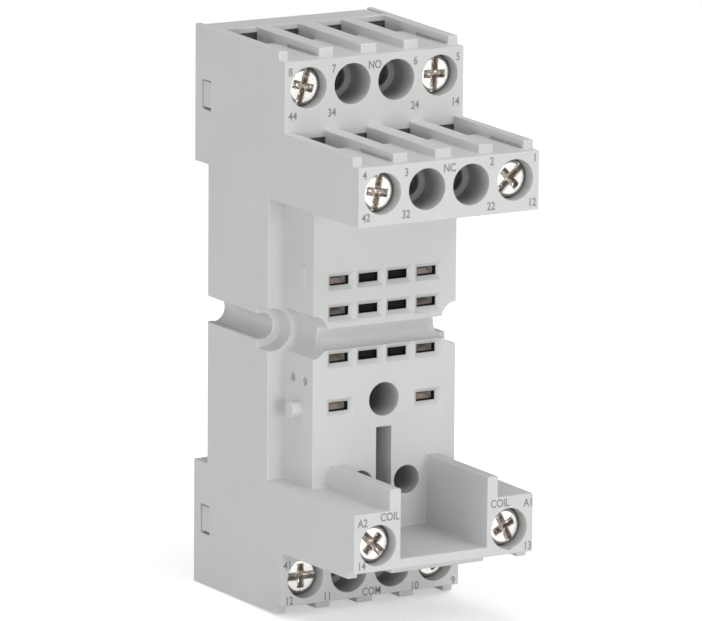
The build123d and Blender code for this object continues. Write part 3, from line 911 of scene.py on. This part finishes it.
    def on_circle(self, line: Array, radius: float) -> Array:
        """Places on a circle for the columns that start along a side.

        Args:
            line: places along the side of the middle square.
            radius: radius of the circle.

        Returns:
            Array of right and up for each column.
        """
        away = np.abs(line)
        keep = min(self.straight, radius / sqrt(2) * 0.5)
        scale = (radius / sqrt(2) - keep) / (self.square - self.straight)
        along = np.where(away <= self.straight, away * keep / self.straight,
                         keep + (away - self.straight) * scale) * np.sign(line)
        return np.stack((np.sqrt(np.maximum(radius ** 2 - along ** 2, 0)), along), axis=-1)

    @staticmethod
    def turned(radius: Array, depth: Array, columns: int) -> Array:
        """Turn a profile about the axis.

        Args:
            radius: radius of each row, or of each place in it.
            depth: depth of each row.
            columns: number of steps round the axis.

        Returns:
            Grid of right, up and depth.
        """
        angle = np.linspace(0, 2 * pi, columns + 1)
        return np.stack(np.broadcast_arrays(radius * np.cos(angle), radius * np.sin(angle),
                                            depth), axis=-1)

    def neck(self) -> Array:
        """Grid of the plain neck behind the head."""
        r, front, back = self.neck_radius, self.head_length - 0.04, self.neck_end
        profile = np.array(((0, front), (r, front), (r, back - 0.08), (r - 0.08, back),
                            (0, back)))
        return self.turned(profile[:, :1], profile[:, 1:], 64)

    def thread(self) -> Array:
        """Grid of the threaded shank.

        The radius follows a rounded triangle wave of the depth along the axis
        plus the turn about it, and falls to a cone at the tip.

        Returns:
            Grid of right, up and depth, in millimetres.
        """
        start, end = self.neck_end - 0.05, self.tip
        depth = np.arange(start, end - 0.001, self.pitch / 10)
        phase = (depth[:, None] / self.pitch + np.linspace(0, 1, 49)) % 1.0
        crest = np.clip(1.35 - 2.7 * np.abs(phase - 0.5), 0.0, 1.0)
        root = self.thread_radius - self.thread_depth
        fade = (np.clip((depth - start) / self.run_out, 0, 1)
                * np.clip((end - depth) / self.run_out, 0, 1))
        radius = root + self.thread_depth * crest * fade[:, None]
        radius = np.minimum(radius, root - 0.25 + (end - depth)[:, None])
        radius = np.pad(radius, ((1, 1), (0, 0)))
        return self.turned(radius, np.pad(depth, 1, mode="edge")[:, None], 48)

    def paint_recess(self, mesh: Mesh) -> None:
        """Store how far each point lies down in the drive, for the finish's painted shade and
        glints.
        """
        offset = (mesh_points(mesh) - np.array(self.centre())) / MM
        radius = np.hypot(offset[:, 0], offset[:, 2])
        down = np.clip((offset[:, 1] + self.face_lift - 0.10) / 0.4, 0, 1)
        store_recess(mesh, down * (radius < self.radius - 0.06))


@dataclass
class LatchSpring(FormedPiece):
    """Helical spring that holds the rail latch up, with closed end coils."""

    wire: float = 0.4
    turns: float = 8.0
    sides: int = 14
    steps: int = 44
    keep: float = 0.69
    coil: float = 1.02
    smoothing: int = 13
    finish: ClassVar[Finish] = SPRING_FINISH
    node: ClassVar[str] = "latch_spring"

    def mesh(self) -> Mesh:
        """Make the spring's tube as a mesh."""
        return closed_mesh("wound_latch_spring", [self.tube()])

    def build(self, materials: Materials) -> Object:
        """Build the spring and give it a mesh of its own.

        Args:
            materials: material of each finish.

        Returns:
            The finished piece.
        """
        piece = super().build(materials)
        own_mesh(piece)
        return piece

    def tube(self) -> Array:
        """Circle carried along a helix.

        The height grows by one wire's width over each end coil and evenly
        between them. The circle lies in the plane of the radius and of the
        path's upward normal, and shrinks to a point at both ends.

        Returns:
            Grid of points in metres.
        """
        low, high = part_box(self.node)
        centre = (np.array(low) + np.array(high)) / 2
        thick = self.wire * MM
        mean = (high.x - low.x) / 2 - thick / 2
        rise = high.z - low.z - thick
        turn = np.linspace(0, self.turns, int(self.turns * self.steps) + 1)
        height = np.interp(turn, (0, 1, self.turns - 1, self.turns),
                           (0, self.coil * thick, rise - self.coil * thick, rise))
        kernel, edge = np.ones(self.smoothing) / self.smoothing, self.smoothing // 2
        height[edge:-edge] = np.convolve(height, kernel, mode="valid")
        angle = 2 * pi * turn
        out = np.stack((np.cos(angle), np.sin(angle), 0 * angle), axis=-1)
        path = mean * out + np.stack((0 * turn, 0 * turn, height), axis=-1)
        ahead = np.gradient(path, axis=0)
        ahead /= np.linalg.norm(ahead, axis=1, keepdims=True)
        lift = np.cross(out, ahead)
        around = np.linspace(0, 2 * pi, self.sides + 1)
        ring = (out[:, None] * np.cos(around)[None, :, None]
                + lift[:, None] * np.sin(around)[None, :, None])
        size = np.pad(np.ones(len(turn)), 1)[:, None, None] * thick / 2
        full = (np.pad(path, ((1, 1), (0, 0)), mode="edge")[:, None]
                + size * np.pad(ring, ((1, 1), (0, 0), (0, 0)), mode="edge"))
        return full + np.array((centre[0], centre[1], low.z + thick / 2))


@dataclass(frozen=True)
class Mark:
    """One printed mark: its text and its place from the row's screws."""

    text: str
    right: float
    up: float


@dataclass(frozen=True)
class MarkedRow:
    """The printed marks of one terminal row, placed from one of its screws."""

    screw: int
    marks: tuple[Mark, ...]
    sunk: float = 2.0

    def origin(self) -> Vector:
        """Point on the tier's front at the height of the row's screws."""
        low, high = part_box(f"terminal_screw_{self.screw}")
        return Vector((0.0, low.y - self.sunk * MM, (low.z + high.z) / 2))


MARKED_ROWS = (
    MarkedRow(8, (
        Mark("8", -12.64, 2.31), Mark("7", -6.17, 2.28), Mark("NO", 0.0, 2.31),
        Mark("6", 6.15, 2.31), Mark("5", 12.61, 2.32), Mark("44", -12.28, -3.5),
        Mark("34", -6.43, -3.48), Mark("24", 6.11, -3.56), Mark("14", 12.26, -3.6))),
    MarkedRow(4, (
        Mark("4", -12.63, 2.63), Mark("3", -6.43, 2.52), Mark("NC", 0.0, 2.52),
        Mark("2", 6.33, 2.8), Mark("1", 12.83, 2.76), Mark("42", -12.41, -2.88),
        Mark("32", -6.47, -2.92), Mark("22", 6.26, -3.06), Mark("12", 12.46, -3.11))),
    MarkedRow(14, (
        Mark("A2", -12.25, 3.21), Mark("COIL", -8.19, 3.68), Mark("14", -12.36, -2.45),
        Mark("COIL", 8.43, 3.56), Mark("A1", 12.78, 3.19), Mark("13", 12.73, -2.56))),
    MarkedRow(12, (
        Mark("41", -12.66, 2.0), Mark("12", -12.41, -2.79), Mark("11", -6.62, -2.81),
        Mark("COM", 0.12, -2.91), Mark("10", 6.7, -2.96), Mark("9", 12.67, -2.96))),
)


@dataclass
class PrintedMarks(FormedPiece):
    """Printed position numbers and terminal names on the tiers."""

    cap_height: float = 1.05
    condensed: float = 0.84
    proud: float = 0.02
    thickness: float = 0.03
    boldness: float = 0.026
    rows: tuple[MarkedRow, ...] = MARKED_ROWS
    capital_share: ClassVar[float] = 0.70
    finish: ClassVar[Finish] = INK_FINISH

    def mesh(self) -> Mesh:
        """Set every mark and join them into one mesh."""
        work = bmesh.new()
        for row in self.rows:
            for mark in row.marks:
                letters = self.letter_mesh(mark, row.origin())
                work.from_mesh(letters)
                bpy.data.meshes.remove(letters)
        joined = bpy.data.meshes.new("printed_position_marks")
        work.to_mesh(joined)
        work.free()
        return joined

    def letter_mesh(self, mark: Mark, origin: Vector) -> Mesh:
        """Make one mark's mesh and then put it on its tier.

        Args:
            mark: the text and its offsets.
            origin: point on the tier's front that the offsets start from.

        Returns:
            The placed mesh.
        """
        curve = bpy.data.curves.new("mark", "FONT")
        curve.body = mark.text
        curve.size = self.cap_height / self.capital_share
        curve.align_x, curve.align_y = "CENTER", "BOTTOM_BASELINE"
        curve.offset = self.boldness
        curve.extrude = self.thickness / 2
        curve.resolution_u = 6
        holder = bpy.data.objects.new("mark", curve)
        bpy.context.scene.collection.objects.link(holder)
        bpy.context.view_layer.update()
        flat = holder.evaluated_get(bpy.context.evaluated_depsgraph_get())
        mesh = bpy.data.meshes.new_from_object(flat)
        bpy.data.objects.remove(holder)
        bpy.data.curves.remove(curve)
        lift = Vector((mark.right * MM, -(self.proud - self.thickness / 2) * MM,
                       (mark.up - self.cap_height / 2) * MM))
        stand = Matrix.Rotation(pi / 2, 4, "X") @ Matrix.Diagonal(
            (self.condensed * MM, MM, MM, 1))
        mesh.transform(Matrix.Translation(origin + lift) @ stand)
        return mesh


@dataclass
class WaistLining(FormedPiece):
    """Concave moulded channel across the relay block.

    The section is a quarter of an ellipse, from the back of the waist down
    to its front ledge, and its ends follow the scallops beside the block.
    """

    top: float = 38.8
    foot: float = 35.9
    back: float = 24.1
    front: float = 26.52
    scallop_place: float = 10.85
    scallop_radius: float = 2.2
    scallop_height: float = 37.8
    scallop_half: float = 0.625
    sink: float = 0.05
    finish: ClassVar[Finish] = HOUSING_FINISH
    crease: ClassVar[float] = 50.0

    def mesh(self) -> Mesh:
        """Make the lining in the waist of the block."""
        return closed_mesh("waist_channel_lining", [self.grid()])

    def end(self, height: Array) -> Array:
        """Half length of the lining at a height, where the scallop cuts it."""
        away = np.maximum(np.abs(height - self.scallop_height) - self.scallop_half, 0)
        return self.scallop_place - np.sqrt(self.scallop_radius ** 2 - away ** 2)

    def grid(self) -> Array:
        """Carry the section across the block.

        Returns:
            Grid of points in metres, closed round the section and at its ends.
        """
        turn = np.linspace(0, pi / 2, 22)
        depth = self.back + (self.front - self.back) * (1 - np.cos(turn))
        height = self.top - (self.top - self.foot) * np.sin(turn)
        corner = (self.back - self.sink, self.foot - self.sink)
        depth = np.concatenate((depth, (self.front, corner[0], corner[0]), depth[:1]))
        height = np.concatenate((height, (corner[1], corner[1], self.top), height[:1]))
        across = np.concatenate(((-1.0,), np.linspace(-1, 1, 25), (1.0,)))[:, None]
        points = in_frame(across * self.end(height), depth, height)
        for row in (0, -1):
            points[row] = in_frame(across[row, 0] * self.end(np.array(corner[1])), *corner)
        return points


@dataclass
class SlotBlinds(FormedPiece):
    """Dark backs of the six relay slots that hold no contact: painted shade of their unlit
    chambers.
    """

    places: tuple[float, ...] = (-2.2, 2.2)
    heights: tuple[float, ...] = (44.95, 40.85, 34.65)
    depth: float = 25.12
    thickness: float = 0.1
    half_width: float = 1.35
    half_height: float = 0.525
    dish: float = 0.05
    flat: tuple[float, float] = (3 / 4, 2 / 3)
    finish: ClassVar[Finish] = CHAMBER_SHADE_FINISH
    crease: ClassVar[float] = 40.0

    def mesh(self) -> Mesh:
        """Make the six backs, dished in front and sloped to their outline behind."""
        rings = [(share * self.half_width, share * self.half_height,
                  self.depth - self.dish * (1 - share ** 2)) for share in np.linspace(0, 1, 5)]
        rear = self.depth - self.thickness
        rings += [(self.flat[0] * self.half_width, self.flat[1] * self.half_height, rear),
                  (0.0, 0.0, rear)]
        grids = [rectangle_rings(x, z, rings) for z in self.heights for x in self.places]
        return closed_mesh("painted_shade_slot_backs", grids)


@dataclass
class SlotLiners(FormedPiece):
    """Thin dark linings of the relay slots: painted shade on their walls, which get no light.
    """

    places: tuple[tuple[float, float], ...] = (
        *((x, z) for z in (44.95, 40.85, 34.65) for x in (-6.6, -2.2, 2.2, 6.6)),
        (-6.6, 28.2), (6.6, 28.2))
    front: float = 25.96
    rear: float = 25.16
    half_width: float = 1.39
    half_height: float = 0.565
    wall: float = 0.03
    finish: ClassVar[Finish] = CHAMBER_SHADE_FINISH
    crease: ClassVar[float] = 40.0

    def mesh(self) -> Mesh:
        """Make the linings, each closed both ways round its slot."""
        section = ((0.0, self.front), (0.0, self.rear), (self.wall, self.rear),
                   (self.wall, self.front), (0.0, self.front))
        rings = [(self.half_width - step, self.half_height - step, depth)
                 for step, depth in section]
        grids = [rectangle_rings(x, z, rings) for x, z in self.places]
        return closed_mesh("painted_shade_slot_linings", grids)


@dataclass
class WireEntries(FormedPiece):
    """Dark plates on the rear walls of the wire holes of the two upper tiers: painted shade of
    the openings, with a dull sheen of the clamp's metal.

    The real holes open rearwards under a narrow lip, where no light gets in.
    A tier has its wall's depth, its channels' floor and the plates' rise.
    """

    spans: tuple[tuple[float, float], ...] = (
        (-12.05, -7.475), (-5.325, -1.2), (1.2, 5.325), (7.475, 12.05))
    tiers: tuple[tuple[float, float, float], ...] = (
        (5.7, 73.85, 0.8), (23.55, 63.1, 0.5))
    drop: float = 1.1
    clearance: float = 0.02
    thickness: float = 0.06
    finish: ClassVar[Finish] = ENTRY_SHADE_FINISH
    crease: ClassVar[float] = 40.0

    def mesh(self) -> Mesh:
        """Make the eight plates, each a little clear of the walls about it."""
        grids = []
        for wall, floor, rise in self.tiers:
            rear = wall + self.clearance
            high, middle = (rise + self.drop) / 2, floor + (rise - self.drop) / 2
            for left, right in self.spans:
                wide = (right - left) / 2 - self.clearance
                rings = ((0, 0, rear), (wide, high, rear),
                         (wide, high, rear + self.thickness), (0, 0, rear + self.thickness))
                grids.append(rectangle_rings((left + right) / 2, middle, rings))
        return closed_mesh("wire_entry_shade_plates", grids)


# The whole socket


def moulded_pieces() -> list[SoftenedPiece]:
    """List the housing, the rear cover and the rail latch."""
    return [
        HoledHousing("housing", "moulded_housing", HOUSING_FINISH, 0.15, share=0.2),
        SoftenedPiece("rear_cover", "moulded_rear_cover", COVER_FINISH, 0.16, share=0.25),
        SoftenedPiece("rail_latch", "moulded_rail_latch", LATCH_FINISH, 0.16,
                      Body.LATCH.value, share=0.25),
    ]


def terminal_pieces(turns: dict[int, float]) -> list[SoftenedPiece | TerminalScrew]:
    """List the contact strip, the clamp cage and the screw of each fitted terminal.

    Args:
        turns: each screw's own turn, in degrees from upright, to the right.

    Returns:
        The pieces, terminal by terminal.
    """
    pieces = []
    for number, turn in turns.items():
        pieces += [
            SoftenedPiece(f"contact_{number}", f"stamped_contact_{number}",
                          CONTACT_FINISH, 0.07, segments=2),
            SoftenedPiece(f"clamp_cage_{number}", f"formed_cage_{number}", CAGE_FINISH,
                          0.09, f"cage_{number}", segments=2),
            TerminalScrew(number, turn),
        ]
    return pieces


# Studio


@dataclass(frozen=True)
class Lamp:
    """Soft square lamp that looks at the socket."""

    name: str
    place: tuple[float, float, float]
    size: float
    power: float
    tint: tuple[float, float, float] = (1.0, 1.0, 1.0)


@dataclass
class Studio:
    """Camera, lamps, surrounding light and floor of the product picture."""

    focal_pixels: float = 7615.5
    width_pixels: int = 702
    sensor: float = 36.0
    azimuth: float = 30.56
    elevation: float = 11.85
    roll: float = 0.425
    distance: float = 1.0
    aim: tuple[float, float, float] = (0.0, 2.75, 36.4)
    shift_right: float = -0.286
    shift_up: float = 2.459
    surrounding: float = 0.33
    floor_size: float = 14.0
    floor_glow: float = 0.45
    floor_tone: float = 0.8
    floor_points: int = 9
    middle: tuple[float, float, float] = (0.0, 0.0, 0.037)
    lamps: tuple[Lamp, ...] = (
        Lamp("key_from_front_right", (0.42, -0.95, 1.0), 0.6, 4.3, (1.0, 0.985, 0.955)),
        Lamp("low_front_light", (0.05, -1.25, 0.07), 0.4, 5.7, (1.0, 0.99, 0.97)),
        Lamp("low_light_from_left", (-0.85, -0.95, 0.08), 0.4, 3.3, (0.99, 0.995, 1.0)),
        Lamp("fill_from_left", (-1.25, -0.35, 0.35), 0.8, 3.2, (0.97, 0.99, 1.0)),
        Lamp("top_light", (-0.1, -0.1, 1.25), 0.8, 6.4),
    )

    def build(self) -> None:
        """Set up the camera, the lamps, the surrounding light and the floor."""
        self.camera()
        for lamp in self.lamps:
            self.light(lamp)
        self.world()
        self.floor()
        bpy.context.scene.view_settings.view_transform = "Standard"

    def camera(self) -> None:
        """Stand the camera at the picture's viewing angle.

        Its axes come from the azimuth, elevation and roll, and its place is
        on its axis through the aim, moved a little in its own plane.
        """
        a, e, r = radians(self.azimuth), radians(self.elevation), radians(self.roll)
        back = Vector((-sin(a) * cos(e), -cos(a) * cos(e), sin(e)))
        level = Vector((cos(a), -sin(a), 0.0))
        upright = back.cross(level)
        right = cos(r) * level + sin(r) * upright
        up = -sin(r) * level + cos(r) * upright
        place = (Vector(self.aim) + self.shift_right * right + self.shift_up * up) * MM
        place += self.distance * back
        data = bpy.data.cameras.new("product_camera")
        data.sensor_width = self.sensor
        data.sensor_fit = "HORIZONTAL"
        data.lens = self.focal_pixels / self.width_pixels * self.sensor
        data.clip_start, data.clip_end = 0.01, 60.0
        camera = bpy.data.objects.new("product_camera", data)
        axes = Matrix((right, up, back)).transposed().to_4x4()
        camera.matrix_world = Matrix.Translation(place) @ axes
        bpy.context.scene.collection.objects.link(camera)
        bpy.context.scene.camera = camera

    def light(self, lamp: Lamp) -> None:
        """Hang one soft lamp and turn it to the socket's middle."""
        data = bpy.data.lights.new(lamp.name, "AREA")
        data.shape = "SQUARE"
        data.size = lamp.size
        data.energy = lamp.power
        data.color = lamp.tint
        holder = bpy.data.objects.new(lamp.name, data)
        holder.location = lamp.place
        look = Vector(self.middle) - Vector(lamp.place)
        holder.rotation_euler = look.to_track_quat("-Z", "Y").to_euler()
        bpy.context.scene.collection.objects.link(holder)

    def world(self) -> None:
        """Light the scene evenly, and show white to the camera."""
        world = bpy.data.worlds.new("studio_surroundings")
        world.use_nodes = True
        tree = world.node_tree
        path = add_node(tree, "LightPath", {})
        level = add_node(tree, "MapRange", {
            "Value": path.outputs["Is Camera Ray"], "To Min": self.surrounding, "To Max": 1.0})
        set_inputs(tree, tree.nodes["Background"], {
            "Strength": level.outputs["Result"], "Color": (1.0, 1.0, 1.0, 1.0)})
        bpy.context.scene.world = world

    def floor(self) -> None:
        """Lay the pale floor that the socket stands on.

        It is a plain diffuse surface with a glow that only the camera, gloss
        and glass see, so that it reads white and still takes the shadow.
        """
        half = self.floor_size / 2
        line = np.linspace(-half, half, self.floor_points)
        x, y = np.meshgrid(line, line, indexing="ij")
        mesh = bpy.data.meshes.new("studio_floor")
        mesh.from_pydata(np.stack((x, y, 0 * x), axis=-1).reshape(-1, 3), [],
                         grid_quads(len(line), len(line))[:, ::-1])
        floor = bpy.data.objects.new("studio_floor", mesh)
        bpy.context.scene.collection.objects.link(floor)
        material = bpy.data.materials.new("pale_floor")
        material.use_nodes = True
        tree = material.node_tree
        tree.nodes.clear()
        rays = add_node(tree, "LightPath", {}).outputs
        seen = rays["Is Camera Ray"]
        for key in ("Is Glossy Ray", "Is Transmission Ray"):
            seen = add_node(tree, "Math", {0: seen, 1: rays[key]},
                            operation="MAXIMUM").outputs["Value"]
        strength = add_node(tree, "Math", {0: seen, 1: self.floor_glow},
                            operation="MULTIPLY")
        matte = add_node(tree, "BsdfDiffuse", {"Color": (*[self.floor_tone] * 3, 1.0)})
        glow = add_node(tree, "Emission", {"Strength": strength.outputs["Value"]})
        both = add_node(tree, "AddShader", {
            0: matte.outputs["BSDF"], 1: glow.outputs["Emission"]})
        add_node(tree, "OutputMaterial", {"Surface": both.outputs["Shader"]})
        mesh.materials.append(material)


def main() -> None:
    """Build and dress every piece of the socket, then set up the studio."""
    logging.basicConfig(level=logging.INFO, format="%(name)s: %(message)s")
    groups = {"fine_grain": fine_grain(), "flecks": flecks()}
    materials = {finish: finish.make(groups) for finish in FINISHES}
    turns = {8: 17.0, 5: 3.0, 4: 10.0, 1: 47.0, 14: -45.0, 13: -27.0, 12: 90.0, 9: 62.0}
    pieces = [*moulded_pieces(), *terminal_pieces(turns), LatchSpring(), PrintedMarks(),
              WaistLining(), SlotBlinds(), SlotLiners(), WireEntries()]
    for piece in pieces:
        piece.build(materials)
    LOG.info("%d pieces in all", len(pieces))
    Studio().build()
    bpy.context.view_layer.update()


if __name__ == "__main__":
    main()
